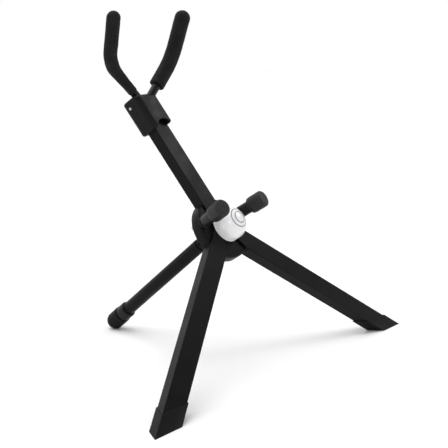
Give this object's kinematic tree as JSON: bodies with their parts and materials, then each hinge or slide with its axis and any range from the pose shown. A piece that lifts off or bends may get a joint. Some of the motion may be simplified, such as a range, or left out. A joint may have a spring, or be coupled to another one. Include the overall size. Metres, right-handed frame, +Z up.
{
  "type": "saxophone stand",
  "caption": "Compact folding saxophone stand with a padded fork on a leaning arm, rubber-capped pegs beside a white dome, flat front legs and a round rear prop.",
  "frame": {"origin": "on the ground at the centre of the footprint box", "axes": "+Z up, -Y forward, the side the dome and pegs face, +X to the right seen from behind the stand"},
  "size_m": [0.4162, 0.2508, 0.3454],
  "materials": {
    "satin_black_metal": "satin black powder coat",
    "black_hardware": "satin black hardware",
    "zinc_steel": "zinc plated",
    "black_plastic": "fine grain, semi matt",
    "white_plastic": "glossy white",
    "black_rubber": "matt rubber",
    "black_foam": "matt closed-cell foam"
  },
  "bodies": {
    "hub": {"arm": "satin_black_metal", "centre_bolt": "zinc_steel", "friction_washer": "zinc_steel", "centre_nut": "zinc_steel", "dome_seat_ring": "black_plastic", "dome_cap": "white_plastic", "peg_left": "black_plastic", "peg_right": "black_plastic", "peg_cap_left": "black_rubber", "peg_cap_right": "black_rubber", "peg_screws": "zinc_steel", "rear_bracket": "black_hardware", "rear_hinge_pin": "zinc_steel", "fork_head_block": "black_plastic", "head_cross_pin": "zinc_steel", "fork_rod_left": "black_hardware", "fork_rod_right": "black_hardware", "foam_sleeve_left": "black_foam", "foam_sleeve_right": "black_foam"},
    "left_leg": {"leg_left": "satin_black_metal", "foot_cap_left": "black_rubber"},
    "right_leg": {"leg_right": "satin_black_metal", "foot_cap_right": "black_rubber"},
    "rear_leg": {"rear_leg_eye": "black_plastic", "rear_leg_tube": "satin_black_metal", "rear_leg_collar": "black_plastic", "rear_foot_ball": "black_rubber"}
  },
  "joints": [
    {"name": "left_leg_swing", "type": "hinge", "parent": "hub", "child": "left_leg", "pos_m": [0, -0.03188, 0.13], "axis": [0, -0.8368, 0.5476], "range_deg": [0, 31]},
    {"name": "right_leg_swing", "type": "hinge", "parent": "hub", "child": "right_leg", "pos_m": [0, -0.03188, 0.13], "axis": [0, 0.8368, -0.5476], "range_deg": [0, 31]},
    {"name": "rear_leg_fold", "type": "hinge", "parent": "hub", "child": "rear_leg", "pos_m": [0, -0.01732, 0.12047], "axis": [-1, 0, 0], "range_deg": [0, 83]}
  ]
}
